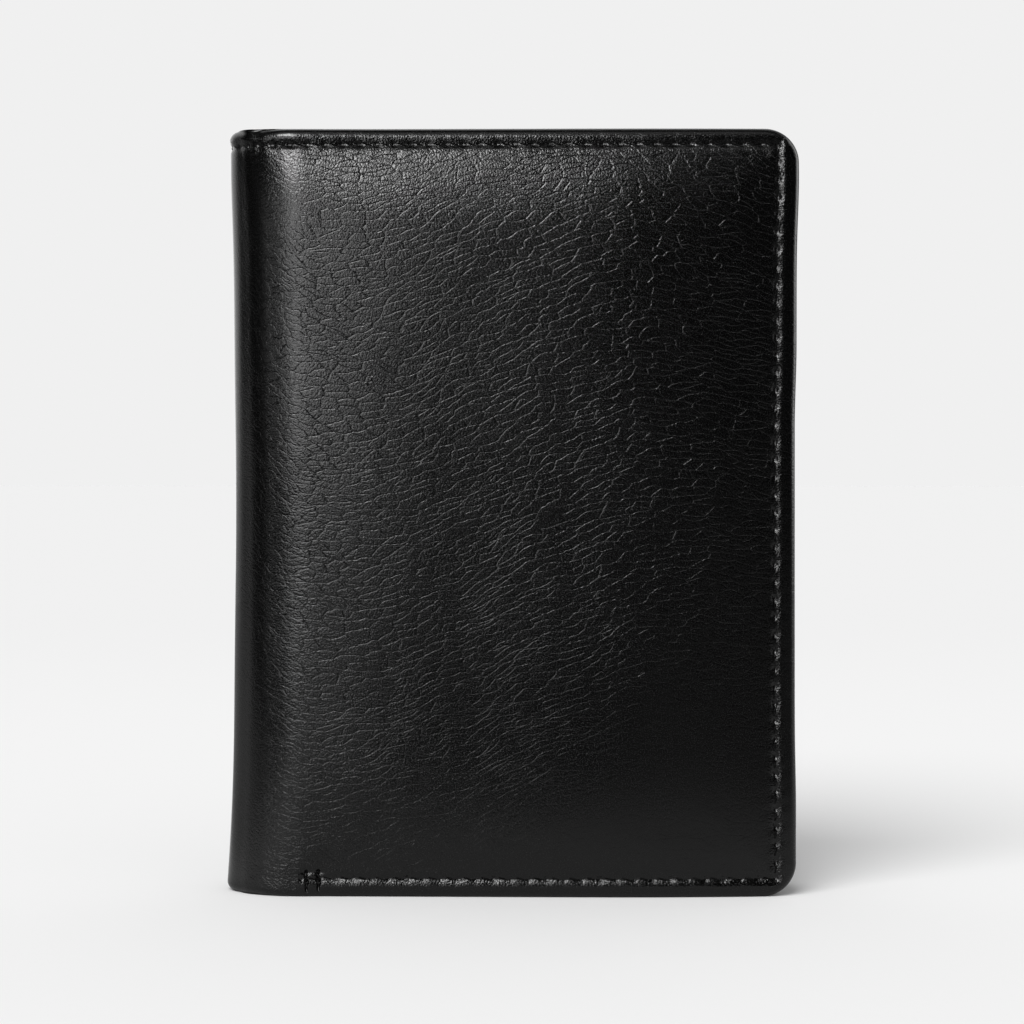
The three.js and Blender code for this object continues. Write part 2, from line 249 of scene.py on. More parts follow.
def new_object(name, points, faces, material, uv=None, extra=None):
    """A smooth mesh object from points in mm and face rows. uv and extra are two UV maps, with
    a value per point."""
    mesh = bpy.data.meshes.new(name)
    mesh.from_pydata((np.asarray(points) * 0.001).tolist(), [], faces)
    mesh.update()
    corners = np.empty(len(mesh.loops), dtype=np.int32)
    mesh.loops.foreach_get("vertex_index", corners)
    for layer_name, values in [("UVMap", uv), ("seam", extra)]:
        if values is not None:
            layer = mesh.uv_layers.new(name=layer_name)
            layer.uv.foreach_set("vector", np.asarray(values)[corners].astype(np.float32).ravel())
    mesh.shade_smooth()
    mesh.materials.append(material)
    obj = bpy.data.objects.new(name, mesh)
    bpy.context.collection.objects.link(obj)
    return obj


def grid_faces(rows, columns, join_rows=False, join_columns=False):
    """Quads over a grid of rows x columns points, whose last row or column may join the first."""
    i, j = np.arange(rows - (not join_rows)), np.arange(columns - (not join_columns))
    i, j = np.meshgrid(i, j, indexing="ij")
    k, m = (i + 1) % rows, (j + 1) % columns
    quads = [i * columns + j, k * columns + j, k * columns + m, i * columns + m]
    return np.stack(quads, -1).reshape(-1, 4)


def shell_faces(rows, columns):
    """Faces of a thin closed solid whose two sides are the same grid, the outer one first."""
    count = rows * columns
    at = np.arange(count).reshape(rows, columns)
    rim = np.concatenate([at[:-1, 0], at[-1, :-1], at[:0:-1, -1], at[0, :0:-1]])
    after = np.roll(rim, -1)
    side, faces = np.stack([rim, after, after + count, rim + count], -1), grid_faces(rows, columns)
    return np.concatenate([faces[:, ::-1], faces + count, side])


def pairs(u, v):
    """Rows of two numbers from two arrays."""
    return np.stack(np.broadcast_arrays(u, v), -1).reshape(-1, 2)


def closed_object(name, material, sides, faces, turned, *maps):
    """An object from the points of its sides and quads that close it, turned to face out.
    `turned` makes the mirror image, for the back leaf."""
    points = np.concatenate([side.reshape(-1, 3) for side in sides])
    if turned:
        points = points * np.array([1.0, -1.0, 1.0])
    a, b, c, d = (points[faces[:, k]] for k in range(4))
    volume = np.einsum("ij,ij->", a, np.cross(b, c)) + np.einsum("ij,ij->", a, np.cross(c, d))
    faces = faces if volume > 0 else faces[:, ::-1]
    maps = [np.tile(values, (len(sides), 1)) for values in maps]
    return new_object(name, points, faces.tolist(), material, *maps)


def rounded_grid(u, v, box, radii):
    """A square grid moved into a rounded outline (left, right, bottom, top), with the radii in
    the order bottom left, bottom right, top right, top left: in each corner square, lines at
    one distance from the edge become arcs about one centre."""
    left, right, bottom, top = box
    u1, v1 = u, v
    for radius, from_left, from_bottom in zip(radii, (1, 0, 0, 1), (1, 1, 0, 0)):
        p = radius - (u - left if from_left else right - u)
        q = radius - (v - bottom if from_bottom else top - v)
        inside = (p > 0) & (q > 0)
        p1, q1 = np.where(inside, p, 1.0), np.where(inside, q, 1.0)
        angle = np.where(p1 >= q1, q1 / p1, 2 - p1 / q1) * math.pi / 4
        reach = np.maximum(p1, q1)
        across = radius - reach * np.cos(angle)
        along = radius - reach * np.sin(angle)
        u1 = np.where(inside, left + across if from_left else right - across, u1)
        v1 = np.where(inside, bottom + along if from_bottom else top - along, v1)
    return u1, v1


def slab(name, material, lines, box, radii, face, back, edge, to_world, turned=False, joined=False):
    """A sheet between two heights over an outline, with both of its edges rounded off by
    `edge`. face and back are numbers or functions of (u, v), and to_world(u, v, height) puts
    the sheet in its place. `joined` leaves the right end square, because its other half goes
    on from there."""
    u_grid, v_grid = np.meshgrid(*lines, indexing="ij")
    left, right, bottom, top = box
    free = np.minimum(u_grid - left, np.minimum(v_grid - bottom, top - v_grid))
    if not joined:
        free = np.minimum(free, right - u_grid)
    off = rounded_edge(free, edge)
    u, v = rounded_grid(u_grid, v_grid, box, radii)
    heights = [h(u, v) if callable(h) else h + 0 * u for h in (face, back)]
    sides = [to_world(u, v, heights[0] - off), to_world(u, v, heights[1] + off)]
    faces = shell_faces(*u.shape)
    return closed_object(name, material, sides, faces, turned, pairs(u, v) / UV_MM)


def even_lines(low, high, fine, step):
    """Grid lines from low to high: at the distances `fine` from both ends, and even between."""
    fine = np.asarray(fine)
    middle = spread((low + fine[-1], step), high - fine[-1])
    return np.concatenate([low + fine[:-1], middle, (high - fine[:-1])[::-1]])


def rounded_loop(box, radius, side=24, arc=8):
    """Points round a rectangle with rounded corners: the same share of them on every side and
    in every corner, so that two such loops can be joined point for point."""
    left, right, bottom, top = box
    corners = np.array([(right, top), (left, top), (left, bottom), (right, bottom)], float)
    centres = corners + np.array([(-1, -1), (1, -1), (1, 1), (-1, 1)]) * radius
    turn = np.arange(4)[:, None] * math.pi / 2 + np.linspace(0, math.pi / 2, arc)[None]
    arcs = centres[:, None] + radius * np.stack([np.cos(turn), np.sin(turn)], -1)
    t = (np.arange(side) + 1)[None, :, None] / (side + 1)
    sides = arcs[:, -1:] * (1 - t) + np.roll(arcs, -1, 0)[:, :1] * t
    return np.concatenate([arcs, sides], 1).reshape(-1, 2)


def frame_ring(name, material, stations, to_world, turned=False):
    """A frame: closed loops (points, height) one after another round its cross-section."""
    loops = np.stack([loop for loop, _ in stations])
    heights = np.array([h for _, h in stations])[:, None]
    u, v = loops[..., 0], loops[..., 1]
    faces = grid_faces(*u.shape, True, True)
    sides, uv = [to_world(u, v, heights)], pairs(u + heights, v) / UV_MM
    return closed_object(name, material, sides, faces, turned, uv)


def lengths(line):
    """Length along a line up to each of its points."""
    steps = np.linalg.norm(np.diff(line, axis=0), axis=1)
    return np.concatenate([[0], np.cumsum(steps)])


def holes_along(line, pitch):
    """Stitch holes at even lengths along a line, for the whole number of stitches nearest the
    pitch."""
    line = np.array(line, float)
    length = lengths(line)
    at = np.linspace(0, length[-1], round(length[-1] / pitch) + 1)
    return np.stack([np.interp(at, length, line[:, k]) for k in (0, 1)], -1)


def legs(path, pitch):
    """Stitch holes along each leg of a path, so that every corner has one."""
    return [holes_along(leg, pitch) for leg in zip(path[:-1], path[1:])]


def seam_thread(name, material, chains, wrap, to_world, turned=False, slant=12, proud=-0.08):
    """Lock stitches from hole to hole of each chain: each one a short tube that rises out of
    its hole to `proud` mm, crosses the seam by the slant in degrees and sinks in the next
    hole. The holes are in the surface's own coordinates, and to_world(a, b, height) puts them
    on it."""
    start = np.concatenate([c[:-1] for c in chains])
    way = np.concatenate([c[1:] for c in chains]) - start
    length = np.linalg.norm(way, axis=1)[:, None, None]
    way = way[:, None] / length
    side = np.stack([-way[..., 1], way[..., 0]], -1)
    rings, around = 8, 6
    t = np.linspace(0, 1, rings)[:, None]
    theta = np.arange(around) / around * TAU
    across = math.tan(math.radians(slant)) * (t - 0.5)
    centre = start[:, None] + length * ((0.05 + 0.9 * t) * way + across * side)
    to_hole = np.abs(2 * t - 1)
    radius = wrap.thread / 2 * (0.55 + 0.45 * np.sqrt(1 - to_hole**6))
    at = centre[:, :, None] + (radius * np.cos(theta))[..., None] * side[:, :, None]
    upward = proud - 0.55 * to_hole**3.2 + 0.8 * radius * np.sin(theta)
    upward = np.broadcast_to(upward, at.shape[:3])
    cap = np.array([[0, 1, 2, 3], [0, 3, 4, 5]])
    faces = [grid_faces(rings, around, False, True), cap, rings * around - 1 - cap]
    faces = np.concatenate(faces)[None] + np.arange(len(start))[:, None, None] * rings * around
    uv = np.tile(pairs(t, theta / TAU), (len(start), 1))
    sides = [to_world(at[..., 0], at[..., 1], upward)]
    return closed_object(name, material, sides, faces.reshape(-1, 4), turned, uv)


def seam_field(wrap, s, z, reach=0.8):
    """Signed distance to the seam, inwards positive, and the share of the seam's own shape
    that counts there: none along the bottom edge past the seam's start, where it fades out
    over twice the reach."""
    side, top, bottom = s - wrap.side, wrap.top - z, z - wrap.bottom
    sewn = smooth((wrap.start + reach - s) / (2 * reach))
    off = np.minimum(np.minimum(side, top), np.where(sewn > 0, bottom, 99.0))
    own = np.where((bottom < top) & (bottom < side), sewn, 1.0)
    return off, own


def seam_along(wrap, s, z):
    """Length along the seam in stitches, 0 at the holes: up the opening edge, or away from it
    along the top and the bottom."""

    def stitches(at, low, high):
        return (at - low) * round((high - low) / wrap.pitch) / (high - low)

    up = stitches(z, wrap.bottom, wrap.top)
    top, bottom = [stitches(s, wrap.side, end) for end in (wrap.middle, wrap.start)]
    near_side = np.minimum(wrap.top - z, z - wrap.bottom) > s - wrap.side
    return np.where(near_side, up, np.where(z > wrap.height / 2, top, bottom))


def seam_relief(wrap, s, z):
    """What the seam does to the cover, and the distance to it: a pressed channel that is
    deepest at the stitch holes, the pillow swelling up from it, a lip outside it and puckers
    across it."""
    off, own = seam_field(wrap, s, z)
    count = seam_along(wrap, s, z)
    uneven = 1 + 0.3 * np.sin(2.1 * count + 1.3 * np.sin(0.37 * count))
    drawn = np.cos(TAU * (count + 0.12 * off))  # 1 at the holes, where the thread pulls
    # The stitches pull deepest along the opening edge.
    pull = 0.08 + 0.34 * smooth(np.minimum(wrap.top - z, z - wrap.bottom) / 6)
    outward = np.exp(-((np.clip(-off, 0, None) / 0.62) ** 1.4))
    walls = np.where(off > 0, bell(off, 0.55), outward)
    channel = CHANNEL * uneven * (1 + pull * drawn) * walls
    lip = -LIP * bell(off + 1.35, 0.7)
    pucker = PUCKER * drawn * np.exp(-np.abs(off))
    wide_off, wide_own = seam_field(wrap, s, z, 5.0)
    puff = PUFF * np.exp(-np.clip(wide_off - 0.5, 0, 40) / 4.9) * wide_own
    return (channel + lip + pucker) * own + puff, off


def bend_relief(wrap, s):
    """The leather's rounding off of the bend, most a little before the middle of it."""
    peak = wrap.bend + 4.8
    before = np.clip(1 - (peak - s) / 13.5, 0, 1) ** 1.4
    past = 1 - (s - peak) / (wrap.middle - peak)
    return SPINE_ROUND * round_off(np.where(s < peak, before, past))


def slow_waves(s, z):
    """Waves of a few hundredths of a mm that soft leather has over its padding."""
    return (
        -0.026 * np.sin(s / 5.1 + 0.9 * np.sin(z / 17.0 + 1.0) + 0.4)
        + 0.068 * np.sin(z / 7.3 - s / 11.0 + 1.9)
        - 0.034 * np.sin((s + 0.6 * z) / 9.0 + 2.2)
    )


def lock_relief(wrap, s, z):
    """The grooves of the two stitches across the edge, and of those sewn back above them."""
    past = s - wrap.start
    across = past + 0.1 * (3 - z) + 0.12 * np.sin(3.1 * z)
    locks = sum(bell(across + at, 0.2) * (0.75 + 0.25 * np.sin(5 * z + 2 * at)) for at in LOCKS)
    locks = 0.6 * locks * smooth((LOCK_TOP - z) / 1.2) * smooth((z - 0.5) / 0.8)
    back = bell(z - 4.1, 0.4) * smooth((0.4 - past) / 0.5) * smooth((past + 4.2) / 0.8)
    return locks + 0.35 * back


def leather_depth(wrap, s, z, s_grid, z_grid):
    """Depth of the cover's face: what its seam, the bend, the rounded edge, slow waves and the
    locking stitches take off it, added up. Gives the distance to the seam with it."""
    seam, off = seam_relief(wrap, s, z)
    edge = 0.95 + 0.6 * smooth((s - wrap.bend + 4) / 6) + 0.3 * (1 - smooth(s_grid / 8))
    bevel = rounded_edge(free_edge(wrap, s_grid, z_grid), edge)
    waves = slow_waves(s, z) * smooth((off - 1) / 8)
    relief = seam + bend_relief(wrap, s) + bevel + waves + lock_relief(wrap, s, z)
    deepest = underside(wrap, s, s_grid, z_grid) - LEAST_LEATHER
    return -0.12 * np.logaddexp(-relief / 0.12, -deepest / 0.12), off


def underside(wrap, s, s_grid, z_grid):
    """Depth of the cover's inner face: level, and rounded off along the free edges."""
    spine = smooth((s - wrap.bend + 2) / 4)
    bevel = rounded_edge(free_edge(wrap, s_grid, z_grid), 0.6)
    return wrap.hem + 0.15 * spine - (1 - 0.8 * spine) * bevel


def build_leather(name, wrap, material, back):
    """One half of the cover leather, from its opening edge to the middle of the spine."""
    edge = [(0, 0.12), (0.48, 0.24), (1.2, 0.21), (4.6, 0.4), (6.2, 0.7)]
    lock = (wrap.start - LOCKS[1] - 0.6, 0.11), (wrap.start - LOCKS[0] + 0.6, 0.5)
    s_lines = spread(*edge, *lock, wrap.middle)
    half = spread(*edge, wrap.height / 2)
    z_lines = np.concatenate([half, (wrap.height - half)[-2::-1]])
    s_grid, z_grid = np.meshgrid(s_lines, z_lines, indexing="ij")
    box, radii = (0, wrap.middle, 0, wrap.height), (wrap.corner, 0, 0, wrap.corner)
    s, z = rounded_grid(s_grid, z_grid, box, radii)
    relief, off = leather_depth(wrap, s, z, s_grid, z_grid)
    outer = wrap.place(s, z, relief)
    inner = wrap.place(s, z, underside(wrap, s, s_grid, z_grid))
    along = 2 * wrap.middle - s if back else s
    maps = pairs(along, z) / UV_MM, pairs(seam_along(wrap, s, z), off)
    faces = shell_faces(*s.shape)
    return closed_object(name, material, [outer, inner], faces, back, *maps)


def bend_between(obj, wrap, depth, back):
    """Works out where the arc at this depth would start and meet the leaf, but uses neither, and
    bakes the piece's transform into its mesh.
    """
    sign = 0.001 if back else -0.001
    depth = depth - (SPINE_DIP + SPINE_PINCH) * float(wrap.taken(np.array(depth)))
    middle = 0.0005 * wrap.height
    start = (0.001 * (depth - wrap.width / 2), sign * wrap.flat, middle)
    leaf = 0.001 * (wrap.radius - wrap.width / 2), sign * (wrap.flat + wrap.radius - depth), middle
    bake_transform(obj)


# ------------------------------------------------------------------ materials


def node(tree, kind, inputs=None, **settings):
    """Adds a node, sets its properties and fills or links its inputs by name or number."""
    made = tree.nodes.new(kind)
    for key, value in settings.items():
        setattr(made, key, value)
    for key, value in (inputs or {}).items():
        if isinstance(value, Value):
            value = value.socket
        if isinstance(value, bpy.types.NodeSocket):
            tree.links.new(value, made.inputs[key])
        else:
            made.inputs[key].default_value = value
    return made


class Value:
    """A number that a shader works out. Arithmetic on it adds the Math nodes for it."""

    def __init__(self, tree, socket):
        self.tree, self.socket = tree, socket

    def __add__(self, other):
        return maths(self.tree, "ADD", self, other)

    def __sub__(self, other):
        return maths(self.tree, "SUBTRACT", self, other)

    def __rsub__(self, other):
        return maths(self.tree, "SUBTRACT", other, self)

    def __mul__(self, other):
        return maths(self.tree, "MULTIPLY", self, other)

    __radd__, __rmul__ = __add__, __mul__

    def of(self, operation, *others):
        """Another of the Math node's operations, such as SINE."""
        return maths(self.tree, operation, self, *others)

    def ramp(self, low, high, to_low=0.0, to_high=1.0):
        """Smoothly maps low..high to to_low..to_high."""
        inputs = {"Value": self, 1: low, 2: high, 3: to_low, 4: to_high}
        made = node(self.tree, "ShaderNodeMapRange", inputs, interpolation_type="SMOOTHSTEP")
        return Value(self.tree, made.outputs[0])


def maths(tree, operation, *values):
    """The result of a Math node."""
    made = node(tree, "ShaderNodeMath", dict(enumerate(values)), operation=operation)
    return Value(tree, made.outputs[0])


def vector_maths(tree, operation, *values, **named):
    """The result of a Vector Math node."""
    inputs = {**dict(enumerate(values)), **named}
    return node(tree, "ShaderNodeVectorMath", inputs, operation=operation).outputs[0]


def split(tree, vector):
    """The three numbers of a vector."""
    made = node(tree, "ShaderNodeSeparateXYZ", {0: vector})
    return [Value(tree, out) for out in made.outputs]


def uv_map(tree, name="UVMap"):
    return node(tree, "ShaderNodeUVMap", uv_map=name).outputs[0]


def noise(tree, vector, scale, detail, roughness=0.5, dimensions="2D"):
    """Cloudy noise over a vector, as a number and as a colour of three numbers."""
    inputs = {"Vector": vector, "Scale": scale, "Detail": detail, "Roughness": roughness}
    made = node(tree, "ShaderNodeTexNoise", inputs, noise_dimensions=dimensions)
    return Value(tree, made.outputs[0]), made.outputs[1]


def bump(tree, height, distance, strength=1.0):
    """A normal that stands for this relief, whose height of 1 is `distance` metres."""
    inputs = {"Height": height, "Distance": distance, "Strength": strength}
    return node(tree, "ShaderNodeBump", inputs).outputs[0]


def two_tones(tree, amount, colour, low, high):
    """The colour times `low` where the amount is 0 and times `high` where it is 1."""
    ends = {key: (*[share * c for c in colour], 1) for key, share in [(6, low), (7, high)]}
    return node(tree, "ShaderNodeMix", {0: amount, **ends}, data_type="RGBA").outputs[2]


def new_material(name):
    """An empty material and its node tree."""
    material = bpy.data.materials.new(name)
    material.use_nodes = True
    material.node_tree.nodes.clear()
    return material, material.node_tree


def finished(material, inputs):
    """The material, ending in a Principled shader with these inputs."""
    tree = material.node_tree
    surface = node(tree, "ShaderNodeBsdfPrincipled", inputs)
    node(tree, "ShaderNodeOutputMaterial", {"Surface": surface.outputs[0]})
    return material


def hide_flow(along, up, middle):
    """How the grain runs over the cover, from the length along the wrap and the height in mm.
    By distance from the middle of the spine, a crease falls by 0.85 of its run up to 16.5 mm,
    lies level to 36 mm, rises by 0.34 to 73 mm, and falls past that by 0.11 low on the cover
    and 0.46 high up. Gives the distance, the height less what a crease has gained, and the
    strength of the creases, of all the grain and of the pillows."""
    away = along - middle
    away = (away * away + 9.0).of("SQRT")

    def beyond(start, softness):
        """How far `away` is past the start, or short of it where the softness is negative,
        with a soft corner there."""
        part = (away - start) * (1 / softness)
        return (part.of("EXPONENT") + 1).of("LOGARITHM", math.e) * softness

    rise = beyond(16.5, -4.0) * -0.85 + beyond(36.0, 4.0) * 0.34
    rise = rise + beyond(73.0, 9.0) * up.ramp(30, 110, -0.45, -0.8)
    # The grain is pressed smooth round the bend and fades towards the bottom right.
    grain = away.ramp(3, 15, 0.35, 1) * up.ramp(3, 40, 1.2, 1) * away.ramp(50, 85, 1, 1.1)
    grain = grain * (1 - up.ramp(10, 50, 0.55, 0) * away.ramp(45, 75))
    # The creases are deepest beside the bend and, higher up, towards the opening edge.
    lines = away.ramp(12, 20, 0.75, 1.35) + away.ramp(26, 40, 0, -0.4)
    lines = lines * up.ramp(5, 60, 0.45, 1) * (away.ramp(40, 70) * up.ramp(50, 85, 0.3, 0.8) + 1)
    lines = lines * (1 - up.ramp(103, 116) * away.ramp(16, 26, 0.6, 0))
    return away, up - rise, lines, grain, away.ramp(28, 60, -0.25, -0.1)


def sewn_grain(tree, height, pitch):
    """The grain's relief with the cover seam in it: pressed flat along the seam, a pit at each
    stitch hole, and short wrinkles where the leather is drawn into it."""
    where = uv_map(tree, "seam")
    stitches, off, _ = split(tree, where)
    across = off.of("ABSOLUTE")
    pressed = across.ramp(0.3, 1.3, 0.45, 1) * off.ramp(-0.6, 0.2, 0.3, 1)
    beside = ((stitches + 0.5).of("FRACT") - 0.5) * pitch
    apart = (beside * beside + across * across).of("SQRT")
    lengthwise = vector_maths(tree, "MULTIPLY", where, (pitch * 3.2, 2.6, 0))
    wrinkles = across.ramp(2.2, 0.3) * noise(tree, lengthwise, 1.0, 1)[0]
    return height * pressed + apart.ramp(0.7, 0.1) * -2.6 + wrinkles * 2.5


def grain_leather(name, colour, roughness, scale, depth, cover=None):
    """Full-grain cowhide, dyed through, milled soft and sealed with a thin semi-gloss coat,
    which gives the eye a net of fine bright lines in a dark, soft gloss. At scale 1 the
    creases enclose cells of 3.5 x 1.3 mm, their forks cells of 1.0 x 0.8 mm, and between
    them lie pebbles of 0.4 mm, drawn at twice their real size so that they show, and pores.
    Relief = -0.9 creases - 0.35 forks - 0.25 pillows - 0.52 pebbles + 0.7 pores, times the
    depth. `cover` is the wrap whose bend and seam the grain follows."""
    material, tree = new_material(name)
    mm = vector_maths(tree, "MULTIPLY", uv_map(tree), (UV_MM, UV_MM, 0))
    drift, jitter = [
        vector_maths(tree, "SUBTRACT", noise(tree, mm, per_mm, 2)[1], (0.5, 0.5, 0.5))
        for per_mm in (0.07, 0.45)
    ]
    at = vector_maths(tree, "MULTIPLY_ADD", drift, (5.0, 4.0, 0), mm)
    at = vector_maths(tree, "MULTIPLY_ADD", jitter, (0.9, 0.5, 0), at)
    if cover:
        # The creases wander more round the bend.
        place = (split(tree, mm)[0] - cover.middle).of("ABSOLUTE")
        wander = vector_maths(tree, "SCALE", jitter, Scale=place.ramp(13, 22, 1.5, 0))
        at = vector_maths(tree, "ADD", at, wander)
    along, up, _ = split(tree, at)
    swollen = -0.25
    if cover:
        along, up, lines, grain, swollen = hide_flow(along, up, cover.middle)
    flow = node(tree, "ShaderNodeCombineXYZ", {0: along, 1: up}).outputs[0]

    def cells(vector, size, stretch=1.0, feature="DISTANCE_TO_EDGE"):
        """Cells this many mm across, stretched along the creases."""
        scaled = vector_maths(tree, "MULTIPLY", vector, (1 / (size * stretch), 1 / size, 0))
        inputs = {"Vector": scaled, "Scale": 1.0, "Randomness": 1.0}
        made = node(tree, "ShaderNodeTexVoronoi", inputs, feature=feature, voronoi_dimensions="2D")
        return Value(tree, made.outputs[0])

    def valley(distance, width):
        """A fold along the cells' edges: sharp at the bottom, levelling off over this width."""
        return (distance * (-1 / width)).of("EXPONENT")

    long_cells = cells(flow, 1.3 * scale, 2.7)
    pores = noise(tree, mm, 3.0 / scale, 1, 0.6)[0]
    broken = noise(tree, flow, 0.42, 1)[0].ramp(0.36, 0.62, 0.6, 1)
    creases = valley(long_cells, 0.043) * broken * pores.ramp(0.35, 0.6, 0.6, 1.1)
    if cover:
        creases = creases * lines
    patches = noise(tree, mm, 0.16, 2)[0].ramp(0.4, 0.65, 0.3, 0.8)
    forks = valley(cells(at, 0.8 * scale, 1.2), 0.07) * patches
    pebbles = cells(mm, 0.4 * scale, feature="F1")
    height = creases * -0.9 + forks * -0.35 + valley(long_cells, 0.28) * swollen
    height = height + pebbles * -0.52 + pores * 0.7
    if cover:
        height = sewn_grain(tree, height * grain, cover.pitch)
    # Painted highlights: the base colour's fine speckle, from 0.3 to 2.6 times the colour, makes
    # light grey specks that stand for light caught on the crests of the fine grain. The same noise
    # makes the roughness vary.
    fine = noise(tree, mm, 4.6 / scale, 1, 0.7)[0]
    inputs = {
        "Base Color": two_tones(tree, fine.ramp(0.4, 0.75), colour, 0.3, 2.6),
        "Roughness": fine.ramp(0.4, 0.75, roughness - 0.06, roughness + 0.09),
        "Normal": bump(tree, height, depth),
        "IOR": 1.5,
    }
    return finished(material, inputs)


def sewing_thread(colour):
    """Bonded polyester thread, three strands twisted: matt round strands, with painted shade in the
    lines between them and painted light on their crowns.
    """
    material, tree = new_material("bonded_polyester_thread")
    length, turn, _ = split(tree, uv_map(tree))
    strands = ((length * 5 + turn) * TAU).of("SINE").of("ABSOLUTE")
    inputs = {
        # Painted shade and light: the colour runs from half the thread's colour between the strands
        # to 1.3 times it on their crowns.
        "Base Color": two_tones(tree, strands, colour, 0.5, 1.3),
        "Roughness": 0.75,
        "Normal": bump(tree, strands, 0.00006),
        "IOR": 1.3,
    }
    return finished(material, inputs)


def woven_lining(name, colour, twill):
    """Polyester lining, a plain or twill weave: threads a quarter of a millimetre apart, drawn
    at 0.5 mm so that they show, with a low silky sheen across the weave."""
    material, tree = new_material(name)
    uv = uv_map(tree)
    warp, weft, _ = [way * (UV_MM / 0.5 * math.pi) for way in split(tree, uv)]
    if twill:
        weft = weft * 0.5 + warp
    height = warp.of("SINE").of("ABSOLUTE") * weft.of("SINE").of("ABSOLUTE")
    uneven = noise(tree, uv, 60.0, 3, dimensions="3D")[0]
    inputs = {
        # The colour is partly tone that differs at random and partly painted shade: darker in the
        # weave's hollows and lighter on the threads' crowns.
        "Base Color": two_tones(tree, uneven * 0.5 + height * 0.5, colour, 0.55, 1.35),
        "Roughness": 0.62,
        "Sheen Weight": 0.25,
        "Sheen Roughness": 0.4,
        "Normal": bump(tree, height, 0.00008, 0.8),
    }
    return finished(material, inputs)


def clear_vinyl(colour):
    """Calendered clear PVC: glossy, with the slow ripple of a soft sheet."""
    material, tree = new_material("clear_vinyl")
    where = node(tree, "ShaderNodeTexCoord").outputs["Object"]
    ripple = noise(tree, where, 90.0, 1, dimensions="3D")[0]
    inputs = {
        "Base Color": (*colour, 1),
        "Roughness": ripple.ramp(0.2, 0.8, 0.05, 0.14),
        "IOR": 1.53,
        "Transmission Weight": 1.0,
        "Normal": bump(tree, ripple, 0.0006, 0.5),
    }
    return finished(material, inputs)


def paper_sweep(colour):
    """Matt paper: a faint tooth of fibres. Its colour is painted a touch paler round the wallet, a
    painted pool of light that makes up for the room's light that the wallet keeps off there. In
    what the leather mirrors, its colour is painted dark towards its end a little way in front of
    the wallet, painted shade in the reflection, save for a painted pool of light to the left and
    a little painted light far off to the right."""
    material, tree = new_material("matt_paper_sweep")
    fibres = node(tree, "ShaderNodeTexNoise", {"Scale": 900.0, "Detail": 2.0}).outputs[0]
    where = node(tree, "ShaderNodeTexCoord").outputs["Object"]
    apart = node(tree, "ShaderNodeVectorMath", {0: where}, operation="LENGTH").outputs["Value"]
    # Painted light: the paper's colour is raised by up to 4.5% near the wallet, a painted pool of
    # light that evens out the shade round it.
    pale = vector_maths(tree, "SCALE", colour, Scale=Value(tree, apart).ramp(0.05, 0.7, 1.045, 1))
    inputs = {"Color": pale, "Normal": bump(tree, fibres, 0.00002)}
    paper = node(tree, "ShaderNodeBsdfDiffuse", inputs).outputs[0]
    # Painted reflection: in glossy rays the paper's colour is mixed towards near black by where it
    # lies, painted shade in what the leather mirrors.
    dark = node(tree, "ShaderNodeBsdfDiffuse", {"Color": (0.01, 0.01, 0.01, 1)}).outputs[0]
    mirrored = Value(tree, node(tree, "ShaderNodeLightPath").outputs["Is Glossy Ray"])
    aside, in_front, _ = split(tree, where)
    # A painted pool of light to the left, and painted light far off to the right, lessen that
    # painted shade.
    off = (aside + 0.078) * (1 / 0.024)
    pool = (off * off * -1).of("EXPONENT")
    far = in_front.ramp(-0.1, -0.25) * in_front.ramp(-0.9, -0.45)
    far = far * aside.ramp(0.005, 0.06, 0, -0.17)
    shaded = (in_front.ramp(-0.01, -0.17, 0.5, 1) + far) * mirrored
    mixed = {0: shaded * (1 - pool * 0.8), 1: paper, 2: dark}
    sweep = node(tree, "ShaderNodeMixShader", mixed).outputs[0]
    node(tree, "ShaderNodeOutputMaterial", {"Surface": sweep})
    return material


# ------------------------------------------------------------------ stage


# What the leather mirrors, as panels of light in a dim studio. For each: its bearing to the
# left of the camera and its height in degrees, its half width and half height, its strength.
PANELS = [
    (15.5, 23.9, 6.1, 22.2, 3.5),
    (21.5, 0.5, 10.4, 8.2, 4.2),
    (17.0, 30.1, 9.3, 8.7, 17.0),
    (-104.0, 0.0, 20.0, 50.0, 2.8),
    (5.0, 52.0, 45.0, 17.0, 0.5),
    (44.0, -3.0, 15.0, 9.0, 1.0),
]


def room_light(tree, ambient, ground):
    """The camera sees an even pale ground, soft light comes from all round, and glossy
    surfaces mirror the panels in front and the pale ground behind."""
    path = node(tree, "ShaderNodeLightPath").outputs
    x, y, z = split(tree, node(tree, "ShaderNodeTexCoord").outputs["Generated"])
    left = maths(tree, "ARCTAN2", x * -1, y * -1)
    height = z.of("ARCSINE")
    mirrored = y.ramp(0.03, 0.42, 0, 1.4) * x.ramp(0.4, -0.1, 0.2, 1) + 0.012
    for bearing, raised, half_width, half_height, strength in PANELS:
        # exp(-(a^4 + b^4)), with a and b in half widths and half heights: a panel with soft edges.
        across = (left - math.radians(bearing)) * (1 / math.radians(half_width))
        upward = (height - math.radians(raised)) * (1 / math.radians(half_height))
        across, upward = across * across, upward * upward
        edge = across * across + upward * upward
        mirrored = (edge * -1).of("EXPONENT") * strength + mirrored
    lit = node(tree, "ShaderNodeMix", {0: path["Is Glossy Ray"], 2: ambient, 3: mirrored})
    seen = maths(tree, "MAXIMUM", path["Is Camera Ray"], path["Is Transmission Ray"])
    grey = node(tree, "ShaderNodeMix", {0: seen, 2: lit.outputs[0], 3: ground})
    background = node(tree, "ShaderNodeBackground", {"Color": grey.outputs[0], "Strength": 1.0})
    node(tree, "ShaderNodeOutputWorld", {"Surface": background.outputs[0]})


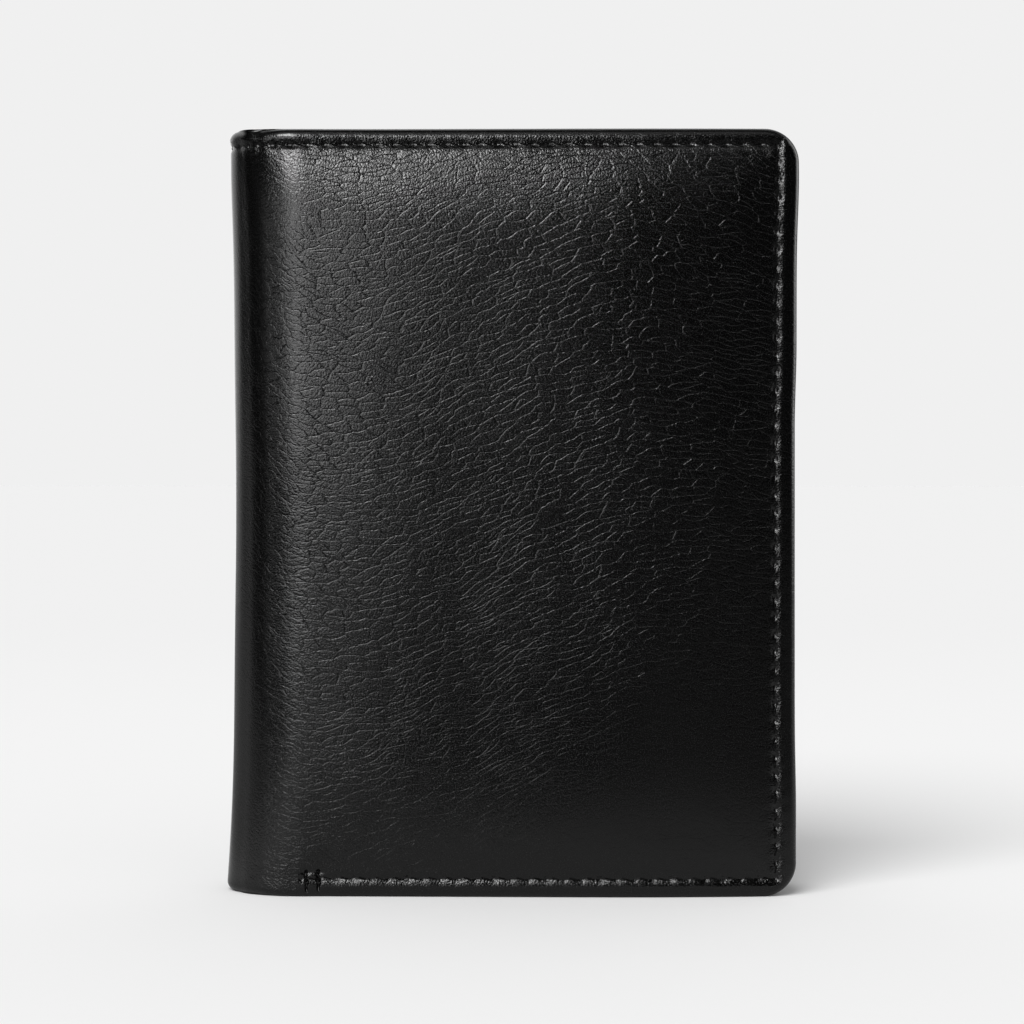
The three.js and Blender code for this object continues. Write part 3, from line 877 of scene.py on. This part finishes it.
class WALLET_OT_stage(bpy.types.Operator):
    """Floor, camera and soft studio light"""

    bl_idname = "wallet.stage"
    bl_label = "Stage"

    def execute(self, context):
        scene = context.scene
        stage, ground = scene.wallet_stage, tuple(scene.wallet_colours.floor)
        reach = 4000.0
        corners = [[-reach, -reach, 0], [reach, -reach, 0], [reach, reach, 0], [-reach, reach, 0]]
        floor = new_object("floor", corners, [[0, 1, 2, 3]], paper_sweep(ground))

        world = bpy.data.worlds.new("pale_room")
        world.use_nodes = True
        world.node_tree.nodes.clear()
        room_light(world.node_tree, stage.ambient, ground[0])
        scene.world = world

        key = bpy.data.lights.new("key", "SUN")
        key.energy = stage.key
        key.angle = math.radians(38)
        lamp = bpy.data.objects.new("key", key)
        towards = Vector((-0.27, -0.6, 0.76))
        lamp.rotation_euler = towards.to_track_quat("Z", "Y").to_euler()
        lamp.visible_glossy = False  # the panels of the world stand for it in reflections
        context.collection.objects.link(lamp)

        data = bpy.data.cameras.new("camera")
        data.sensor_width = 36
        data.lens = data.sensor_width / 2 / math.tan(stage.view_angle / 2)
        data.shift_y = stage.shift
        camera = bpy.data.objects.new("camera", data)
        camera.location = stage.aside, -stage.distance, stage.eye
        camera.rotation_euler = (math.pi / 2, 0, stage.turn)
        context.collection.objects.link(camera)
        scene.camera = camera
        scene.view_settings.view_transform = "Standard"
        return {"FINISHED"}


LEAVES = [(False, "front"), (True, "back")]
# Roughness of the leather, scale and depth of its grain.
COVER_GRAIN, INNER_GRAIN = (0.21, 0.93, 0.000028), (0.38, 0.7, 0.000018)


def carry(piece, body, slot, *nodes):
    """The piece moves with the body and stands for the nodes, which it hides. The slot is not used.
    """
    if nodes:
        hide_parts(*nodes)
    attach(piece, body)


class WALLET_OT_cover(bpy.types.Operator):
    """The cover leather round both leaves, in two halves that meet in the spine"""

    bl_idname = "wallet.cover"
    bl_label = "Cover"

    def execute(self, context):
        wrap = Wrap(context.scene.wallet_sizes)
        colour = context.scene.wallet_colours.leather
        material = grain_leather("milled_cowhide", colour, *COVER_GRAIN, wrap)
        for back, leaf in LEAVES:
            half = build_leather(f"leather_{leaf}", wrap, material, back)
            nodes = [f"cover_{leaf}", f"padding_{leaf}"] + (["cover_spine"] if back else [])
            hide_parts(*nodes)
            bend_between(half, wrap, 0.0, back)
        return {"FINISHED"}


class WALLET_OT_cover_thread(bpy.types.Operator):
    """The stitching round the cover, seen outside and along the mouth of the note pocket"""

    bl_idname = "wallet.cover_thread"
    bl_label = "Cover stitching"

    def execute(self, context):
        wrap = Wrap(context.scene.wallet_sizes)
        material = sewing_thread(context.scene.wallet_colours.thread)
        start, side, bottom, top = wrap.start, wrap.side, wrap.bottom, wrap.top
        path = [(start, bottom), (side, bottom), (side, top), (wrap.middle, top)]
        # The seam is locked where it starts: two stitches back, and two across the edge.
        locks = [np.array([(start - at, 0.7), (start - at, LOCK_TOP - 0.6)]) for at in LOCKS]
        outer = legs(path, wrap.pitch) + locks
        inner = legs([(side + 1, top), (wrap.middle, top)], wrap.pitch)

        def outside(s, z, height):
            return wrap.place(s, z, leather_depth(wrap, s, z, s, z)[0] - height)

        def inside(s, z, height):
            return wrap.place(s, z, SQUEEZE_FROM + height)

        for back, leaf in LEAVES:
            for name, chains, to_world, proud, depth in [
                ("cover", outer, outside, -0.08, 0.6),
                ("lining", inner, inside, 0.05, 2.8),
            ]:
                piece = seam_thread(
                    f"thread_{name}_{leaf}", material, chains, wrap, to_world, back, proud=proud
                )
                bend_between(piece, wrap, depth, back)
        return {"FINISHED"}


class WALLET_OT_note_pocket(bpy.types.Operator):
    """Lining, divider and wall of the note compartment, sheets that run round the spine"""

    bl_idname = "wallet.note_pocket"
    bl_label = "Note compartment"

    def execute(self, context):
        wrap = Wrap(context.scene.wallet_sizes)
        colour = context.scene.wallet_colours.lining
        plain = woven_lining("polyester_taffeta", colour, False)
        twill = woven_lining("polyester_twill", colour, True)
        # For each: its outer and inner depth, the height of its mouth, and its cloth.
        layers = [
            ("bill_lining", 2.6, 2.8, 125.6, plain),
            ("bill_divider", *DIVIDER_DEPTH, 119.0, twill),
            ("bill_wall", WALL_DEPTH, WALL_DEPTH + 0.3, 123.5, twill),
        ]
        low, left, corner = 1.4, 1.4, 4.2
        fine = np.array([0, 0.08, 0.2, 0.6, 1.4, 2.8, corner])
        s_lines = spread((left + corner, 1.2), (wrap.bend - 2, 0.6), wrap.middle)
        s_lines = np.concatenate([left + fine[:-1], s_lines])

        def place(s, z, height):
            return wrap.place(s, z, -height)

        for name, outer, inner, high, material in layers:
            lines = s_lines, even_lines(low, high, fine, 1.6)
            box, radii = (left, wrap.middle, low, high), (corner, 0, 0, corner)
            flat = (0.001 * (wrap.middle - left), 0.001 * (high - low))

            def hemmed(s, z):
                """The turned hem along the mouth doubles the sheet over its last 6 mm."""
                return 0.1 * smooth((z - high + 6.4) / 0.5) - outer

            for back, leaf in LEAVES:
                piece = slab(
                    f"{name}_sheet_{leaf}", material, lines, box, radii,
                    hemmed, -inner, 0.08, place, back, joined=True,
                )
                nodes = [f"{name}_{leaf}"] + ([f"{name}_spine"] if back else [])
                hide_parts(*nodes)
                bend_between(piece, wrap, (outer + inner) / 2, back)
        return {"FINISHED"}


class Pockets:
    """The inside of a leaf. Heights count from the cover's face towards the flap, x and z are
    the wallet's own. foot and mouth are where the grid lines lie at a sheet's edges."""

    box = (-41.9, 46.2, 1.2, 123.5)  # left, right, bottom, top
    radii = (7, 4.4, 4.4, 2.5)
    panel = (6.05, 6.45)  # heights of the panel's two faces
    leather = 0.5  # thickness of a slot
    band = 22.0  # from a slot's mouth to its lower edge
    mouth_height = 8.3  # of a slot's face at its mouth
    lean, last_lean = 0.055, 0.018  # fall of the face per mm below the mouth
    foot = np.array([0, 0.06, 0.16, 0.3, 0.6, 1.1, 1.8, 2.6, 3.5, 4.6, 5.8, 7.2])
    mouth = np.array([0, 0.05, 0.13, 0.25, 0.4, 0.7, 1, 1.2, 1.4, 1.6, 1.8, 2, 2.3, 3, 3.6, 4, 4.3])

    def __init__(self, sizes, count=5):
        pitch = 1000 * sizes.slot_pitch
        self.wrap = Wrap(sizes)
        self.tops = [113 - pitch * k for k in range(count)]
        self.half = 500 * sizes.thickness

    def bottom(self, k):
        """Height of the slot's lower edge."""
        return self.box[2] if k == len(self.tops) - 1 else self.tops[k] - self.band

    def slot_face(self, k, x, z):
        """A slot stands at full height at its mouth and leans back below it. Towards the side
        seams it is pressed flat on the leather under it. A turned edge thickens the mouth
        and a creased line runs below it."""
        top = self.tops[k]
        lean = self.last_lean if k == len(self.tops) - 1 else self.lean
        full = self.mouth_height - lean * (top - z)
        side = np.minimum(x - self.box[0], self.box[1] - x)
        layers = 1 + (smooth((z - top + 10.5) / 1.5) if k else 0)
        pressed = self.panel[1] + 0.04 + 0.54 * layers
        weight = smooth(1 - side / 7.5) ** 1.2
        if k == len(self.tops) - 1:
            weight = np.maximum(weight, smooth(1 - (z - self.box[2]) / 7.5) ** 1.2)
        below = top - z
        turned = 0.10 * smooth((4.2 - below) / 0.5)
        crease = -0.10 * bell(below - 1.6, 0.26)
        return full * (1 - weight) + pressed * weight + turned + crease - 0.10

    def surface(self, x, z):
        """Height of what lies uppermost at a point."""
        height = np.full(np.shape(x), self.panel[1])
        for k, top in enumerate(self.tops):
            on = (z <= top) & (z >= self.bottom(k))
            height = np.where(on, np.maximum(height, self.slot_face(k, x, z)), height)
        return height

    def place(self, x, z, height):
        x, z, height = np.broadcast_arrays(x, z, height)
        fall = self.wrap.fall(self.wrap.width / 2 - x, z)
        return np.stack([x, height + fall - self.half, z], -1)


class WALLET_OT_pockets(bpy.types.Operator):
    """Inner panels with their card slots, sewn along the sides"""

    bl_idname = "wallet.pockets"
    bl_label = "Card slots"

    def execute(self, context):
        sizes, colours = context.scene.wallet_sizes, context.scene.wallet_colours
        wrap, pockets = Wrap(sizes), Pockets(sizes)
        left, right, low, high = pockets.box
        leather = grain_leather("smooth_calfskin", colours.inner, *INNER_GRAIN)
        thread = sewing_thread(colours.thread)
        across = even_lines(left, right, pockets.foot, 2.5)
        seam, end, up = wrap.width / 2 - wrap.side, left + 2.6, high - 2
        path = [(wrap.width / 2 - wrap.start, wrap.bottom), (seam, wrap.bottom)]
        path += [(seam, up), (end, up), (end, 5.4)]
        chains = legs(path, wrap.pitch)

        def on_top(x, z, height):
            return pockets.place(x, z, pockets.surface(x, z) + height)

        for back, leaf in LEAVES:
            finish = f"{leaf}_leaf", "inner_leather"
            panel = slab(
                f"panel_{leaf}", leather, (across, even_lines(low, high, pockets.foot, 2.5)),
                pockets.box, pockets.radii, pockets.panel[1], pockets.panel[0], 0.16,
                pockets.place, back,
            )
            carry(panel, *finish, f"slot_panel_{leaf}")
            for k, top in enumerate(pockets.tops):
                last = k == len(pockets.tops) - 1
                bottom = pockets.bottom(k)
                foot = pockets.foot if last else np.array([0, 0.06, 0.16, 0.4])
                middle = spread((bottom + foot[-1], 1.5), top - pockets.mouth[-1])
                rows = np.concatenate([bottom + foot[:-1], middle, top - pockets.mouth[-2::-1]])
                slot = slab(
                    f"slot_{leaf}_{k + 1}", leather, (across, rows), (left, right, bottom, top),
                    (7, 4.4, 0.3, 0.3) if last else (0.3, 0.3, 0.3, 0.3),
                    lambda x, z: pockets.slot_face(k, x, z),
                    lambda x, z: pockets.slot_face(k, x, z) - pockets.leather,
                    0.24, pockets.place, back,
                )
                carry(slot, *finish, f"card_slot_{leaf}_{k + 1}")
            name = f"thread_pockets_{leaf}"
            stitches = seam_thread(name, thread, chains, wrap, on_top, back, proud=0.06)
            carry(stitches, *finish)
        return {"FINISHED"}


FLAP, FLAP_CORNER = (-42.0, 42.6, 4.0, 119.5), 5  # left, right, bottom, top
WINDOW, WINDOW_CORNER = (-33.0, 33.5, 20.0, 108.0), 4
# The frame's face in section, as distances and heights: inwards from the flap's edge, with a
# rounded edge and a seam, and on to the window, as distances from it, with the other seam.
AT_EDGE = [
    (0, 0.5), (0, 0.85), (0.07, 1.03), (0.2, 1.14), (0.4, 1.2), (0.9, 1.24), (1.6, 1.2),
    (2.2, 1.12), (2.8, 1.2), (4, 1.25),
]
AT_WINDOW = [
    (3, 1.25), (2.2, 1.2), (1.7, 1.12), (1.2, 1.16), (0.6, 1.14), (0.25, 1.08), (0.07, 0.98),
    (0, 0.85), (0, 0.78),
]
# The strip from under the back leaf's panel round to the flap's edge, as x and y.
STRIP = [
    (-38.4, 4.45), (-40.5, 4.45), (-41.9, 4.4), (-42.9, 3.9), (-43.15, 3.0), (-43.1, 2.0),
    (-43.0, 1.2), (-42.75, 0.5), (-42.3, 0.12), (-41.9, 0.0),
]


def grown(box, distance):
    """The box with every side moved outwards."""
    return np.array(box) + distance * np.array([-1, 1, -1, 1])


def inset(distance):
    """A loop this far inside the flap's edge."""
    return rounded_loop(grown(FLAP, -distance), FLAP_CORNER - distance)


def around(distance):
    """A loop this far outside the window's edge."""
    return rounded_loop(grown(WINDOW, distance), WINDOW_CORNER + distance)


def frame_stations():
    """A frame's cross-section: over its face, and back under it."""
    over = [(inset(distance), height) for distance, height in AT_EDGE]
    over += [(inset(4) * (1 - f) + around(3) * f, 1.25) for f in (0.33, 0.67)]
    over += [(around(distance), height) for distance, height in AT_WINDOW]
    return over + [(around(2.8), 0.76), (around(2.81), 0.42), (inset(4), 0.41), (inset(0.3), 0.41)]


def strip_path():
    """Lengths along the strip's smoothed path, and a function that places points on it."""
    path = np.array(STRIP)
    steps = lengths(path)
    at = np.linspace(0, 1, 60) * steps[-1]
    line = np.stack([np.interp(at, steps, path[:, k]) for k in (0, 1)])
    for _ in range(3):
        line[:, 1:-1] = (line[:, :-2] + 2 * line[:, 1:-1] + line[:, 2:]) / 4
    way = np.gradient(line, axis=1)
    way = way / np.linalg.norm(way, axis=0)

    def place(a, z, height):
        a, z, height = np.broadcast_arrays(a, z, height)
        x, y, way_x, way_y = [np.interp(a, at, row) for row in (*line, *way)]
        return np.stack([x + way_y * height, y - way_x * height, z], -1)

    return at, place


class WALLET_OT_flap(bpy.types.Operator):
    """The centre flap with a clear window on each side, and the strip it turns on"""

    bl_idname = "wallet.flap"
    bl_label = "Window flap"

    def execute(self, context):
        colours = context.scene.wallet_colours
        wrap = Wrap(context.scene.wallet_sizes)
        leather = grain_leather("flap_calfskin", colours.inner, *INNER_GRAIN)
        cloth = woven_lining("flap_cloth", colours.lining, False)
        vinyl = clear_vinyl(colours.window)
        thread = sewing_thread(colours.thread)
        loops = [np.append(loop, loop[:1], 0) for loop in (inset(2.2), around(1.7))]
        seams = [holes_along(loop, wrap.pitch) for loop in loops]

        def place(x, z, height):
            x, z, height = np.broadcast_arrays(x, z, height)
            return np.stack([x, -height, z], -1)

        def grid(box, fine):
            return [even_lines(box[k], box[k + 1], fine, 2.5) for k in (0, 2)]

        def wave(x, z):
            """The clear sheet isn't quite flat."""
            return 0.03 * np.sin(x / 6.0 + 1) * np.sin(z / 9.0)

        lines = grid(FLAP, [0, 0.05, 0.12, 0.25, 2.5, 5])
        core = slab("flap_backing", cloth, lines, FLAP, (5, 5, 5, 5), 0.35, -0.35, 0.12, place)
        carry(core, "centre_flap", "lining_fabric", "flap_core")
        for back, leaf in LEAVES:
            frame_piece = frame_ring(
                f"flap_leather_{leaf}", leather, frame_stations(), place, back
            )
            carry(frame_piece, "centre_flap", "inner_leather", f"flap_frame_{leaf}")
            box = tuple(grown(WINDOW, 2.5))  # the clear sheet's edge lies under the frame
            sheet = slab(
                f"flap_vinyl_{leaf}", vinyl, grid(box, [0, 0.05, 0.15, 2, 4]), box,
                (6.5, 6.5, 6.5, 6.5), lambda x, z: 0.65 + wave(x, z),
                lambda x, z: 0.45 + wave(x, z), 0.05, place, back,
            )
            carry(sheet, "centre_flap", "clear_window", f"flap_window_{leaf}")
            stitches = seam_thread(
                f"thread_flap_{leaf}", thread, seams, wrap,
                lambda x, z, height: place(x, z, 1.1 + height), back, proud=0.05,
            )
            carry(stitches, "centre_flap", "inner_leather")

        at, strip_place = strip_path()
        low, high = 6.0, 117.5
        lines, box = (at, even_lines(low, high, [0, 0.05, 0.15, 2], 3)), (0, at[-1], low, high)
        radii = (0.4, 0.4, 0.4, 0.4)
        strip = slab("flap_strip", leather, lines, box, radii, 0.18, -0.18, 0.12, strip_place)
        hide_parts("flap_hinge")
        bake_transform(strip)
        return {"FINISHED"}


class WALLET_PT_panel(bpy.types.Panel):
    """A button for each group of pieces"""

    bl_label = "Wallet"
    bl_space_type = "VIEW_3D"
    bl_region_type = "UI"
    bl_category = "Wallet"

    def draw(self, context):
        for operator in OPERATORS:
            self.layout.operator(operator.bl_idname)


OPERATORS = [
    WALLET_OT_stage,
    WALLET_OT_cover,
    WALLET_OT_cover_thread,
    WALLET_OT_note_pocket,
    WALLET_OT_pockets,
    WALLET_OT_flap,
]
GROUPS = {
    "wallet_sizes": WalletSizes,
    "wallet_colours": WalletColours,
    "wallet_stage": WalletStage,
}


def register():
    for made in [*GROUPS.values(), *OPERATORS, WALLET_PT_panel]:
        bpy.utils.register_class(made)
    for name, group in GROUPS.items():
        setattr(bpy.types.Scene, name, PointerProperty(type=group))


def unregister():
    for name in GROUPS:
        delattr(bpy.types.Scene, name)
    for made in [WALLET_PT_panel, *reversed(OPERATORS), *GROUPS.values()]:
        bpy.utils.unregister_class(made)


def main():
    register()
    for operator in OPERATORS:
        group, call = operator.bl_idname.split(".")
        getattr(getattr(bpy.ops, group), call)()


if __name__ == "__main__":
    main()
